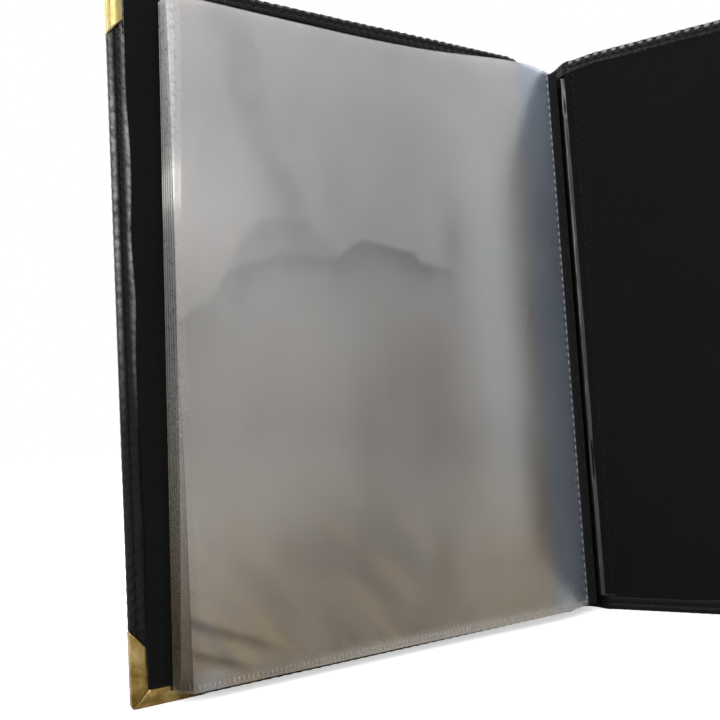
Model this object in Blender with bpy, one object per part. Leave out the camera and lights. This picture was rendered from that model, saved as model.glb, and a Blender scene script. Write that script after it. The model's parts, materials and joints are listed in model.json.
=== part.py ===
"""Menu book: two leatherette covers with brass corners, clear welded sleeves and a soft hollow spine.

The book stands on its lower edges, opened in a V towards -Y. One vertical hinge axis runs down the gutter.
Lengths are in metres. In a cover or sleeve frame, u runs from the hinge axis to the fore-edge, v across the
thickness and z up.
"""
import math

import bmesh
import bpy
from mathutils import Vector

MM = 0.001

# Covers
COVER_WIDTH = 244 * MM
COVER_HEIGHT = 315 * MM
SKIN_THICKNESS = 0.8 * MM
BOARD_THICKNESS = 2.0 * MM
LINING_THICKNESS = 0.5 * MM
TURN_IN_WIDTH = 8.0 * MM
EDGE_ROUNDING = 0.5 * MM

# Brass corners
CORNER_LEG = 31 * MM
CORNER_TAB_WIDTH = 7.0 * MM
BRASS_THICKNESS = 0.5 * MM
CORNER_ROUNDING = 1.0 * MM
FOLD_ROUNDING = 0.25 * MM
CORNER_SEAT = 0.1 * MM

# Sleeves
SLEEVE_COUNT = 6
SLEEVE_FOOT_MARGIN = 4.5 * MM
SLEEVE_HEAD_MARGIN = 10.5 * MM
SLEEVE_FORE_MARGIN = 20 * MM
SLEEVE_PITCH = 1.35 * MM
SLEEVE_FAN_DEG = 1.8
FILM_THICKNESS = 0.25 * MM
POCKET_GAP = 0.3 * MM
WELD_THICKNESS = 0.6 * MM
BINDING_WELD_WIDTH = 12 * MM
FORE_WELD_WIDTH = 3.0 * MM
BOTTOM_WELD_WIDTH = 3.0 * MM

# Binding and spine
OPEN_ANGLE_DEG = 120.0
HINGE_SETBACK = 10 * MM
COVER_CLEARANCE = 0.7 * MM
BUNDLE_MARGIN = 1.45 * MM
BUNDLE_BACK = 2.5 * MM
THREAD_DIAMETER = 0.8 * MM
STITCH_PITCH = 6.0 * MM
STITCH_END_MARGIN = 6.0 * MM
STRIP_THICKNESS = 0.5 * MM
STRIP_END_MARGIN = 7.5 * MM
STRIP_DEPTH = 6.9 * MM
SPINE_DEPTH = 12.4 * MM
SPINE_LEAVE_ANGLE_DEG = 52.0
SHARP_ANGLE_DEG = 40.0

# Clearances
GLUE_GAP = 0.2 * MM
PIECE_GAP = 0.3 * MM
CUT_OVERRUN = 1.0 * MM

# Facets
EDGE_SEGMENTS = 2
CORNER_STEPS = 4
PATH_STEPS = 12
ARC_STEPS = 14
HOLE_SIDES = 6

# Worked out from the sizes above
COVER_THICKNESS = 2 * SKIN_THICKNESS + 2 * GLUE_GAP + BOARD_THICKNESS
FORE_EDGE = HINGE_SETBACK + COVER_WIDTH
INNER_FACE = SLEEVE_COUNT * SLEEVE_PITCH / 2 + COVER_CLEARANCE
BOARD_DEPTH = SKIN_THICKNESS + GLUE_GAP
LINING_DEPTH = BOARD_DEPTH - GLUE_GAP - LINING_THICKNESS
OUTER_SKIN_DEPTH = COVER_THICKNESS - SKIN_THICKNESS
BUNDLE_RADIUS = SLEEVE_COUNT * SLEEVE_PITCH / 2 + BUNDLE_MARGIN
BUNDLE_HALF = SLEEVE_COUNT * SLEEVE_PITCH / 2
SLEEVE_BASE = SLEEVE_FOOT_MARGIN
SLEEVE_TOP = COVER_HEIGHT - SLEEVE_HEAD_MARGIN
SLEEVE_REACH = FORE_EDGE - SLEEVE_FORE_MARGIN
FRONT_DIRECTION = math.radians(270 - OPEN_ANGLE_DEG / 2)
BACK_DIRECTION = math.radians(270 + OPEN_ANGLE_DEG / 2)
FRONT_SIDE = -1
BACK_SIDE = 1


def clear_scene():
    for item in list(bpy.data.objects):
        bpy.data.objects.remove(item, do_unlink=True)


def make_material(name, colour, roughness, metallic=0.0, alpha=1.0):
    material = bpy.data.materials.new(name)
    material.use_nodes = True
    shader = material.node_tree.nodes["Principled BSDF"]
    shader.inputs["Base Color"].default_value = (*colour, 1.0)
    shader.inputs["Roughness"].default_value = roughness
    shader.inputs["Metallic"].default_value = metallic
    shader.inputs["Alpha"].default_value = alpha
    material.diffuse_color = (*colour, alpha)
    return material


def make_empty(name, parent=None, angle=0.0):
    empty = bpy.data.objects.new(name, None)
    bpy.context.collection.objects.link(empty)
    empty.parent = parent
    empty.rotation_euler = (0.0, 0.0, angle)
    return empty


def make_object(name, bm, parent, material=None):
    """Turn a finished bmesh into a named object under its parent."""
    bmesh.ops.recalc_face_normals(bm, faces=bm.faces)
    mesh = bpy.data.meshes.new(name)
    bm.to_mesh(mesh)
    bm.free()
    item = bpy.data.objects.new(name, mesh)
    bpy.context.collection.objects.link(item)
    item.parent = parent
    if material is not None:
        mesh.materials.append(material)
    return item


def cut(item, cutter):
    """Subtract a hidden cutter from an object."""
    cutter.hide_render = True
    cutter.display_type = "WIRE"
    modifier = item.modifiers.new(cutter.name, "BOOLEAN")
    modifier.operation = "DIFFERENCE"
    modifier.solver = "EXACT"
    modifier.object = cutter


def prism(outline, low, high, place):
    """Extrude a flat outline of (a, b) points from depth low to high; place maps (a, b, depth) to a point."""
    bm = bmesh.new()
    rings = []
    for depth in (low, high):
        rings.append([bm.verts.new(place(a, b, depth)) for a, b in outline])
    bm.faces.new(rings[0])
    bm.faces.new(list(reversed(rings[1])))
    for index in range(len(outline)):
        following = (index + 1) % len(outline)
        bm.faces.new((rings[0][index], rings[0][following], rings[1][following], rings[1][index]))
    return bm


def rectangle(low_a, high_a, low_b, high_b):
    return [(low_a, low_b), (high_a, low_b), (high_a, high_b), (low_a, high_b)]


def bevel_where(bm, chosen, width, segments):
    """Round the edges whose two end points satisfy the test."""
    edges = [edge for edge in bm.edges if chosen(edge.verts[0].co, edge.verts[1].co)]
    bmesh.ops.bevel(
        bm, geom=edges, offset=width, offset_type="OFFSET", segments=segments, profile=0.5, affect="EDGES"
    )


def cover_place(side):
    """Map (u, z, depth from the inner face) into a cover's own frame."""
    return lambda u, z, depth: Vector((u, side * (INNER_FACE + depth), z))


def corner_place(side, at_top):
    """Map distances from the fore-edge and from the lower or upper edge, and depth, into a cover's frame."""
    to_cover = cover_place(side)
    return lambda a, b, depth: to_cover(FORE_EDGE - a, COVER_HEIGHT - b if at_top else b, depth)


def corner_outline(outset, ease, rounding):
    """Right-angled outline of a corner, rounded at its tip; outset and ease make it larger for a cutter."""
    reach = CORNER_LEG + 2 * ease + outset
    outline = [(-outset, reach), (reach, -outset)]
    if rounding == 0.0:
        return outline + [(-outset, -outset)]
    for step in range(CORNER_STEPS + 1):
        angle = math.pi / 2 * step / CORNER_STEPS
        outline.append((rounding * (1 - math.sin(angle)), rounding * (1 - math.cos(angle))))
    return outline


def corner_shell(name, side, at_top, parent, outset, ease, material=None):
    """A folded brass corner, or the seat cut for it where outset and ease make it larger."""
    place = corner_place(side, at_top)
    wall = BRASS_THICKNESS + ease
    rounding = CORNER_ROUNDING if material is not None else 0.0
    bm = prism(corner_outline(outset, ease, rounding), -outset, COVER_THICKNESS + outset, place)
    if material is not None:
        tip = place(0, 0, 0)

        def on_fold(first, second):
            flat = abs(first.y - second.y) < GLUE_GAP
            reaches = [Vector((p.x - tip.x, p.z - tip.z)).length for p in (first, second)]
            return flat and min(reaches) < CORNER_LEG / 2

        bevel_where(bm, on_fold, FOLD_ROUNDING, EDGE_SEGMENTS)
    shell = make_object(name, bm, parent, material)
    beyond = CORNER_LEG + CUT_OVERRUN + 2 * (outset + ease)
    room = prism(rectangle(wall, beyond, wall, beyond), wall, COVER_THICKNESS - wall, place)
    cut(shell, make_object(name + "_room_cutter", room, parent))
    tab = CORNER_TAB_WIDTH + ease
    window = prism(rectangle(tab, beyond, tab, beyond), -CUT_OVERRUN - outset, wall + GLUE_GAP, place)
    cut(shell, make_object(name + "_window_cutter", window, parent))
    return shell


def cover_skin(prefix, side, parent, material):
    """Leatherette tray: outer panel, three wrapped edges and the turned-in border."""
    place = cover_place(side)
    bm = prism(rectangle(HINGE_SETBACK, FORE_EDGE, 0, COVER_HEIGHT), 0, COVER_THICKNESS, place)

    def round_edge(first, second):
        along_face = abs(first.y - second.y) < GLUE_GAP
        return along_face and max(first.x, second.x) > HINGE_SETBACK + GLUE_GAP

    bevel_where(bm, round_edge, EDGE_ROUNDING, EDGE_SEGMENTS)
    skin = make_object(prefix + "_skin", bm, parent, material)
    open_end = HINGE_SETBACK - CUT_OVERRUN
    wall = SKIN_THICKNESS
    room = prism(
        rectangle(open_end, FORE_EDGE - wall, wall, COVER_HEIGHT - wall), wall, OUTER_SKIN_DEPTH, place
    )
    cut(skin, make_object(prefix + "_board_room_cutter", room, parent))
    border = TURN_IN_WIDTH
    window = prism(
        rectangle(open_end, FORE_EDGE - border, border, COVER_HEIGHT - border),
        -CUT_OVERRUN, wall + GLUE_GAP, place,
    )
    cut(skin, make_object(prefix + "_lining_window_cutter", window, parent))
    for at_top, label in ((True, "top"), (False, "bottom")):
        seat_name = f"{prefix}_{label}_corner_seat_cutter"
        cut(skin, corner_shell(seat_name, side, at_top, parent, CUT_OVERRUN, CORNER_SEAT))


def cover_board(prefix, side, parent, material):
    edge = SKIN_THICKNESS + GLUE_GAP
    outline = rectangle(HINGE_SETBACK + GLUE_GAP, FORE_EDGE - edge, edge, COVER_HEIGHT - edge)
    bm = prism(outline, BOARD_DEPTH, BOARD_DEPTH + BOARD_THICKNESS, cover_place(side))
    make_object(prefix + "_board", bm, parent, material)


def cover_lining(prefix, side, parent, material):
    edge = TURN_IN_WIDTH + PIECE_GAP
    outline = rectangle(HINGE_SETBACK + GLUE_GAP, FORE_EDGE - edge, edge, COVER_HEIGHT - edge)
    bm = prism(outline, LINING_DEPTH, LINING_DEPTH + LINING_THICKNESS, cover_place(side))
    make_object(prefix + "_lining", bm, parent, material)


def build_cover(prefix, side, parent, materials):
    cover_skin(prefix, side, parent, materials["leatherette"])
    cover_board(prefix, side, parent, materials["greyboard"])
    cover_lining(prefix, side, parent, materials["felt"])
    for at_top, label in ((True, "top"), (False, "bottom")):
        name = f"{prefix}_{label}_corner"
        corner_shell(name, side, at_top, parent, 0.0, 0.0, materials["brass"])


def sleeve_offset(number):
    """Distance of a sleeve from the hinge axis, across the stack; sleeve 1 lies on the front cover."""
    return (number - (SLEEVE_COUNT + 1) / 2) * SLEEVE_PITCH


def sleeve_root(offset):
    """Where a sleeve starts, just clear of the round nose of the sewn margins."""
    nearest = max(abs(offset) - WELD_THICKNESS / 2, 0.0)
    clear_radius = BUNDLE_RADIUS + PIECE_GAP
    return math.sqrt(max(clear_radius**2 - nearest**2, PIECE_GAP**2))


def build_sleeve(number, parent, materials):
    """Two clear films and the weld that joins them on three sides; the pocket is open at the top."""
    offset = sleeve_offset(number)
    root = sleeve_root(offset)
    pocket_start = root + BINDING_WELD_WIDTH
    pocket_end = SLEEVE_REACH - FORE_WELD_WIDTH
    pocket_base = SLEEVE_BASE + BOTTOM_WELD_WIDTH

    def place(u, z, depth):
        return Vector((u, offset + depth, z))

    weld_outline = [
        (root, SLEEVE_BASE),
        (SLEEVE_REACH, SLEEVE_BASE),
        (SLEEVE_REACH, SLEEVE_TOP),
        (pocket_end, SLEEVE_TOP),
        (pocket_end, pocket_base),
        (pocket_start, pocket_base),
        (pocket_start, SLEEVE_TOP),
        (root, SLEEVE_TOP),
    ]
    weld = prism(weld_outline, -WELD_THICKNESS / 2, WELD_THICKNESS / 2, place)
    make_object(f"sleeve_{number}_weld", weld, parent, materials["weld"])
    film_outline = rectangle(
        pocket_start + PIECE_GAP, pocket_end - PIECE_GAP, pocket_base + PIECE_GAP, SLEEVE_TOP
    )
    inner = POCKET_GAP / 2
    outer = inner + FILM_THICKNESS
    front = prism(film_outline, -outer, -inner, place)
    make_object(f"sleeve_{number}_front_film", front, parent, materials["film"])
    back = prism(film_outline, inner, outer, place)
    make_object(f"sleeve_{number}_back_film", back, parent, materials["film"])


def stitch_heights():
    """Heights of the holes through the sewn margins, evenly spaced."""
    first = SLEEVE_BASE + STITCH_END_MARGIN
    span = SLEEVE_TOP - STITCH_END_MARGIN - first
    count = max(int(span / STITCH_PITCH), 1)
    return [first + span * index / count for index in range(count + 1)]


def margin_bundle(parent, material):
    """Gathered, taped binding margins of all sleeves: flat sides, a round nose and stitch holes."""
    reach = math.asin(BUNDLE_HALF / BUNDLE_RADIUS)
    outline = [(-BUNDLE_BACK, -BUNDLE_HALF)]
    for step in range(ARC_STEPS + 1):
        angle = reach * (2 * step / ARC_STEPS - 1)
        outline.append((BUNDLE_RADIUS * math.cos(angle), BUNDLE_RADIUS * math.sin(angle)))
    outline.append((-BUNDLE_BACK, BUNDLE_HALF))

    def upright(u, v, z):
        return Vector((u, v, z))

    block = prism(outline, SLEEVE_BASE, SLEEVE_TOP, upright)
    bundle = make_object("sleeve_margin_bundle", block, parent, material)
    holes = bmesh.new()
    radius = THREAD_DIAMETER / 2 + PIECE_GAP
    half = BUNDLE_HALF + CUT_OVERRUN
    for height in stitch_heights():
        rings = []
        for v in (-half, half):
            ring = []
            for side in range(HOLE_SIDES):
                angle = 2 * math.pi * side / HOLE_SIDES
                ring.append(holes.verts.new((radius * math.cos(angle), v, height + radius * math.sin(angle))))
            rings.append(ring)
        holes.faces.new(rings[0])
        holes.faces.new(list(reversed(rings[1])))
        for side in range(HOLE_SIDES):
            following = (side + 1) % HOLE_SIDES
            holes.faces.new((rings[0][side], rings[0][following], rings[1][following], rings[1][side]))
    cut(bundle, make_object("stitch_hole_cutter", holes, parent))


def binding_thread(parent, material):
    """One running stitch, in and out through every hole of the sewn margins."""
    run = BUNDLE_HALF + PIECE_GAP + THREAD_DIAMETER / 2
    turn = THREAD_DIAMETER / 2
    points = []
    side = FRONT_SIDE
    heights = stitch_heights()
    for index, height in enumerate(heights):
        if index:
            points.append((0.0, side * run, height - turn))
        points.append((0.0, side * (run - turn if index else run), height))
        side = -side
        points.append((0.0, side * (run - turn if index < len(heights) - 1 else run), height))
        if index < len(heights) - 1:
            points.append((0.0, side * run, height + turn))
    curve = bpy.data.curves.new("binding_thread", "CURVE")
    curve.dimensions = "3D"
    curve.bevel_depth = THREAD_DIAMETER / 2
    curve.bevel_resolution = 1
    curve.use_fill_caps = True
    spline = curve.splines.new("POLY")
    spline.points.add(len(points) - 1)
    for point, place in zip(spline.points, points):
        point.co = (*place, 1.0)
    thread = bpy.data.objects.new("binding_thread", curve)
    bpy.context.collection.objects.link(thread)
    thread.parent = parent
    curve.materials.append(material)


def spine_path(depth_in_cover, back_depth):
    """Plan path of a soft strip from the front cover's hinge edge, round the back, to the back cover's."""
    start_u = HINGE_SETBACK - PIECE_GAP
    start_v = INNER_FACE + depth_in_cover
    half_open = math.radians(90 - OPEN_ANGLE_DEG / 2)
    start = Vector((
        -start_u * math.cos(half_open) - start_v * math.sin(half_open),
        -start_u * math.sin(half_open) + start_v * math.cos(half_open),
    ))
    end = Vector((0.0, back_depth))
    leave = math.radians(SPINE_LEAVE_ANGLE_DEG)
    pull = (end - start).length
    start_pull = Vector((math.cos(leave), math.sin(leave))) * pull
    end_pull = Vector((1.0, 0.0)) * pull
    half = []
    for step in range(PATH_STEPS + 1):
        t = step / PATH_STEPS
        point = start * (2 * t**3 - 3 * t**2 + 1) + start_pull * (t**3 - 2 * t**2 + t)
        point = point + end * (3 * t**2 - 2 * t**3) + end_pull * (t**3 - t**2)
        half.append(point)
    return half + [Vector((-point.x, point.y)) for point in reversed(half[:-1])]


def soft_strip(name, path, profile, parent, material):
    """A thin upright strip: a closed profile of (outward offset, height) points swept along a plan path."""
    bm = bmesh.new()
    rows = []
    for index, point in enumerate(path):
        ahead = path[min(index + 1, len(path) - 1)]
        behind = path[max(index - 1, 0)]
        along = (ahead - behind).normalized()
        outward = Vector((-along.y, along.x))
        row = []
        for offset, height in profile:
            spot = point + outward * offset
            row.append(bm.verts.new((spot.x, spot.y, height)))
        rows.append(row)
    for first, second in zip(rows, rows[1:]):
        for one in range(len(profile)):
            two = (one + 1) % len(profile)
            bm.faces.new((first[one], first[two], second[two], second[one]))
    bm.faces.new(rows[0])
    bm.faces.new(list(reversed(rows[-1])))
    strip = make_object(name, bm, parent, material)
    strip.data.shade_smooth()
    strip.data.set_sharp_from_angle(angle=math.radians(SHARP_ANGLE_DEG))


def hemmed_profile():
    """Profile of the spine's leatherette, folded in at the top and at the bottom."""
    outer = SKIN_THICKNESS / 2
    hem_back = -outer - GLUE_GAP
    hem_face = hem_back - SKIN_THICKNESS
    lower = [
        (-outer, SKIN_THICKNESS),
        (hem_back, SKIN_THICKNESS),
        (hem_back, TURN_IN_WIDTH),
        (hem_face, TURN_IN_WIDTH),
        (hem_face, 0.0),
        (outer, 0.0),
    ]
    return lower + [(offset, COVER_HEIGHT - height) for offset, height in reversed(lower)]


def build_binding(parent, stack_frame, materials):
    margin_bundle(stack_frame, materials["vinyl"])
    binding_thread(stack_frame, materials["thread"])
    skin_depth = OUTER_SKIN_DEPTH + SKIN_THICKNESS / 2
    skin_path = spine_path(skin_depth, SPINE_DEPTH)
    soft_strip("spine_skin", skin_path, hemmed_profile(), parent, materials["leatherette"])
    strip_path = spine_path(LINING_DEPTH + LINING_THICKNESS / 2, STRIP_DEPTH)
    half = STRIP_THICKNESS / 2
    strip_profile = rectangle(-half, half, STRIP_END_MARGIN, COVER_HEIGHT - STRIP_END_MARGIN)
    soft_strip("hinge_strip", strip_path, strip_profile, parent, materials["vinyl"])


def centre_on_base(assembly):
    """Move the assembly so that its box stands on z = 0 with its centre above the origin."""
    bpy.context.view_layer.update()
    graph = bpy.context.evaluated_depsgraph_get()
    corners = []
    for item in bpy.data.objects:
        if item.type == "EMPTY" or item.hide_render:
            continue
        evaluated = item.evaluated_get(graph)
        mesh = evaluated.to_mesh()
        corners += [item.matrix_world @ vertex.co for vertex in mesh.vertices]
        evaluated.to_mesh_clear()
    low = [min(corner[axis] for corner in corners) for axis in range(3)]
    high = [max(corner[axis] for corner in corners) for axis in range(3)]
    assembly.location.x -= (low[0] + high[0]) / 2
    assembly.location.y -= (low[1] + high[1]) / 2
    assembly.location.z -= low[2]
    bpy.context.view_layer.update()


def main():
    clear_scene()
    materials = {
        "leatherette": make_material("black leatherette", (0.012, 0.012, 0.012), 0.38),
        "greyboard": make_material("greyboard", (0.33, 0.31, 0.28), 0.9),
        "felt": make_material("black felt lining", (0.010, 0.010, 0.010), 0.95),
        "brass": make_material("brass", (0.80, 0.56, 0.18), 0.22, metallic=1.0),
        "film": make_material("clear film", (0.72, 0.73, 0.75), 0.12, alpha=0.35),
        "weld": make_material("welded film", (0.62, 0.64, 0.67), 0.3, alpha=0.6),
        "vinyl": make_material("black vinyl", (0.018, 0.018, 0.018), 0.22),
        "thread": make_material("black thread", (0.02, 0.02, 0.02), 0.7),
    }
    assembly = make_empty("menu_book")
    front_hinge = make_empty("front_cover_hinge", assembly, FRONT_DIRECTION)
    back_hinge = make_empty("back_cover_hinge", assembly, BACK_DIRECTION)
    stack_frame = make_empty("sleeve_stack", assembly, FRONT_DIRECTION)
    build_binding(assembly, stack_frame, materials)
    build_cover("front_cover", FRONT_SIDE, front_hinge, materials)
    build_cover("back_cover", BACK_SIDE, back_hinge, materials)
    fan_step = math.radians(SLEEVE_FAN_DEG) / max(SLEEVE_COUNT - 1, 1)
    for number in range(1, SLEEVE_COUNT + 1):
        angle = FRONT_DIRECTION + fan_step * (number - 1)
        hinge = make_empty(f"sleeve_{number}_hinge", assembly, angle)
        build_sleeve(number, hinge, materials)
    centre_on_base(assembly)


main()
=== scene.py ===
"""Looks of the menu book: leatherette covers, felt linings, brass corners, clear sleeves and a soft spine.

Lengths are in metres. In a cover or sleeve frame, u runs from the hinge axis to the fore-edge, v across
the thickness and z up. On a cover, depth runs from its inner face to its outer one, and inset in from its
edges.
"""
import json
import math

import bpy
import numpy as np
from mathutils import Matrix, Vector, noise


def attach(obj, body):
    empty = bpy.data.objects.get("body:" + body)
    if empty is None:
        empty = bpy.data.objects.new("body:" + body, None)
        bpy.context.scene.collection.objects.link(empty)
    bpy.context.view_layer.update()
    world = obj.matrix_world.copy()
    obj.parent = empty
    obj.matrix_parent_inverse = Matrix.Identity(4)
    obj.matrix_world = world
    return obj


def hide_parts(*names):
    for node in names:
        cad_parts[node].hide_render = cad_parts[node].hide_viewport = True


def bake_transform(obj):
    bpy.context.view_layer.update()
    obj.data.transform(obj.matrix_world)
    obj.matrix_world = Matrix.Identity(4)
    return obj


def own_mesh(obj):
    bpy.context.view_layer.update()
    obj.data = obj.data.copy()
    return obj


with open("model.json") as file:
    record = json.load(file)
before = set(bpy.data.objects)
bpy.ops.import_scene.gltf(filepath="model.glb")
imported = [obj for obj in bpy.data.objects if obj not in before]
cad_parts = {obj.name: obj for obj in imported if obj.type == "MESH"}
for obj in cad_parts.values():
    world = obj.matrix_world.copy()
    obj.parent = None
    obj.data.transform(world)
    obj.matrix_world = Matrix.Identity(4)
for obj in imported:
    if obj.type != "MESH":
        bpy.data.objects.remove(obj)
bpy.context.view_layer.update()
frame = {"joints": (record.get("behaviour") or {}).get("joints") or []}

MM = 0.001
AXIS = np.array(frame["joints"][0]["pos_m"])

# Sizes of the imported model
FRONT_DEG = 210.0
BACK_DEG = 330.0
HINGE_SETBACK = 10.0 * MM
FORE_EDGE = 254.0 * MM
HEIGHT = 315.0 * MM
INNER_FACE = 4.75 * MM
THICKNESS = 4.0 * MM
BORDER = 8.0 * MM
CORNER_LEG = 31.0 * MM
TAB_WIDTH = 7.0 * MM
SLEEVES = 6
SLEEVE_PITCH = 1.35 * MM
SLEEVE_FAN_DEG = 1.8
SLEEVE_REACH = 234.0 * MM
SLEEVE_BASE = 4.5 * MM
SLEEVE_TOP = 304.5 * MM
BUNDLE_RADIUS = 5.5 * MM
BUNDLE_HALF = 4.05 * MM
BUNDLE_BACK = 2.5 * MM

# Thickness of each dressed sheet
LEATHER, SPINE_LEATHER, BRASS = 0.5 * MM, 0.6 * MM, 0.45 * MM
FELT, FACING = 0.5 * MM, 0.25 * MM
FILM, WELD, VINYL = 0.2 * MM, 0.3 * MM, 0.35 * MM
FILM_LIFT = 0.28 * MM  # of each film off the middle of its sleeve
CORNER_TIP = 1.6 * MM  # rounding of a brass corner's tip

# Stitches and ribs
STITCH_PITCH = 5.0 * MM
STITCH_HALF = 1.75 * MM
STITCH_INSET = 3.7 * MM
STITCH_RADIUS = 0.24 * MM
ROWS_PER_STITCH = 6
GUTTER_STITCH_U = 12.4 * MM
GUTTER_STITCH_PITCH = 4.3 * MM
GUTTER_STITCH_LENGTH = 2.7 * MM
MARGIN_STITCH_PITCH = 6.0 * MM
MARGIN_STITCH_RADIUS = 0.35 * MM
RIB_PITCH = 2.2 * MM
RIB_RADIUS = 0.24 * MM

# Each cover's direction and the side its outer face lies on
COVERS = {"front_cover": (FRONT_DEG, -1), "back_cover": (BACK_DEG, 1)}

# How far each head sinks at the spine, and how strong the painted highlight on its ridge is
HEAD_DIPS = {"front_cover": 4.6 * MM, "back_cover": 1.4 * MM}
HEAD_HIGHLIGHT = {"front_cover": 0.25, "back_cover": 1.2}

# Wrapped edges of a cover: foot, fore-edge and head
FOOT_RUN, FORE_RUN, HEAD_RUN = range(3)
RUN_LENGTHS = (FORE_EDGE - HINGE_SETBACK, HEIGHT, FORE_EDGE - HINGE_SETBACK)

# Edges sharper than this stay crisp
FOLD_ANGLE = math.radians(50)
BRASS_FOLD_ANGLE = math.radians(24)

# Direction in plan that stays with the binding, where the halves of a soft strip meet
SPLIT_DEG = 46.0


# Places

def leaf_points(direction_deg, u, v, z):
    """World points for arrays in a leaf's frame, which turns about the hinge axis."""
    angle = math.radians(direction_deg)
    u, v, z = np.broadcast_arrays(u, v, z)
    x = AXIS[0] + u * math.cos(angle) - v * math.sin(angle)
    y = AXIS[1] + u * math.sin(angle) + v * math.cos(angle)
    return np.stack([x, y, z], -1)


def cover_points(cover, u, depth, z):
    direction, side = COVERS[cover]
    return leaf_points(direction, u, side * (INNER_FACE + depth), z)


def smooth(low, high, x):
    t = np.clip((x - low) / (high - low), 0.0, 1.0)
    return t * t * (3 - 2 * t)


def wander(values, step, seed):
    """Smooth random values along a line, the same on each run."""
    out = [noise.noise(Vector((x / step, seed * 7.13, seed * 3.71))) for x in np.ravel(values)]
    return np.array(out).reshape(np.shape(values))


def over_surface(sample, first, second, step, level):
    a, b = np.broadcast_arrays(first, second)
    out = [sample(Vector((x / step, y / step, level))) for x, y in zip(a.ravel(), b.ravel())]
    return np.array(out).reshape(a.shape)


def wander2(first, second, step, seed):
    """Smooth random values over a surface."""
    return over_surface(noise.noise, first, second, step, seed * 5.3)


def cloud2(first, second, step, seed):
    """Cloudy random values of several sizes over a surface."""
    return over_surface(lambda spot: noise.fractal(spot, 1.0, 2.0, 4), first, second, step, seed * 4.7)


def hump(x, centre, below, above):
    """1 at the centre, falling softly to 0 at a distance below and above it."""
    return smooth(centre - below, centre, x) * smooth(centre + above, centre, x)


# Meshes

def make_piece(name, points, faces, material, smooth_shading=True):
    mesh = bpy.data.meshes.new(name)
    mesh.from_pydata([tuple(p) for p in points.reshape(-1, 3)], [], faces)
    mesh.validate()
    mesh.update()
    if smooth_shading:
        mesh.shade_smooth()
    mesh.materials.append(MATERIALS[material])
    piece = bpy.data.objects.new(name, mesh)
    bpy.context.collection.objects.link(piece)
    return piece


def grid_faces(rows, columns, start=0, flip=False):
    faces = []
    for i in range(rows - 1):
        for j in range(columns - 1):
            a = start + i * columns + j
            quad = (a, a + 1, a + columns + 1, a + columns)
            faces.append(quad[::-1] if flip else quad)
    return faces


def rim_faces(rows, columns, lower):
    """Faces that join a grid's outline to a second grid of the same size, numbered from lower."""
    ring = list(range(columns))
    ring += [i * columns + columns - 1 for i in range(1, rows)]
    ring += [(rows - 1) * columns + j for j in range(columns - 2, -1, -1)]
    ring += [i * columns for i in range(rows - 2, 0, -1)]
    return [(a, a + lower, b + lower, b) for a, b in zip(ring, ring[1:] + ring[:1])]


def grid_normals(points):
    """Unit normals of a grid of points, from its neighbours."""
    along = np.gradient(points, axis=0)
    across = np.gradient(points, axis=1)
    normal = np.cross(along, across)
    return normal / np.maximum(np.linalg.norm(normal, axis=-1, keepdims=True), 1e-12)


def sheet_piece(name, points, thickness, material):
    """A closed thin sheet round a grid of middle points."""
    rows, columns, _ = points.shape
    offset = grid_normals(points) * thickness / 2
    count = rows * columns
    faces = grid_faces(rows, columns) + grid_faces(rows, columns, count, flip=True)
    faces += rim_faces(rows, columns, count)
    stacked = np.concatenate([(points - offset).reshape(-1, 3), (points + offset).reshape(-1, 3)])
    piece = make_piece(name, stacked, faces, material)
    piece.data.set_sharp_from_angle(angle=FOLD_ANGLE)
    return piece


def tube_faces(rings, sides, start=0):
    """Faces of a capped tube whose rings are numbered one after another from start."""
    faces = []
    for ring in range(start, start + (rings - 1) * sides, sides):
        for side in range(sides):
            a, b = ring + side, ring + (side + 1) % sides
            faces.append((a, b, b + sides, a + sides))
    last = start + (rings - 1) * sides
    return faces + [tuple(reversed(range(start, start + sides))), tuple(range(last, last + sides))]


def tube_strands(name, strands, radius, sides, material):
    """Many short capped tubes in one mesh; each strand is an array of points and tapers at its ends."""
    points, faces = [], []
    for strand in strands:
        along = np.gradient(strand, axis=0)
        along /= np.linalg.norm(along, axis=1, keepdims=True)
        helper = np.array([0.3, 0.2, 1.0]) if abs(along[0, 2]) < 0.9 else np.array([1.0, 0.3, 0.0])
        base = len(points)
        for index, (spot, direction) in enumerate(zip(strand, along)):
            first = np.cross(direction, helper)
            first /= np.linalg.norm(first)
            second = np.cross(direction, first)
            size = radius * (0.55 if index in (0, len(strand) - 1) else 1.0)
            for side in range(sides):
                angle = 2 * math.pi * side / sides
                points.append(spot + size * (math.cos(angle) * first + math.sin(angle) * second))
        faces += tube_faces(len(strand), sides, base)
    return make_piece(name, np.array(points), faces, material)


def add_painted_highlight(piece, values):
    # Stores the painted highlight of each point.
    layer = piece.data.attributes.new("painted_highlight", "FLOAT", "POINT")
    layer.data.foreach_set("value", values.ravel())


def solidify(piece, thickness):
    """Thickens an outer face inwards."""
    modifier = piece.modifiers.new("thickness", "SOLIDIFY")
    modifier.thickness = thickness
    modifier.offset = -1.0


# Materials

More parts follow.
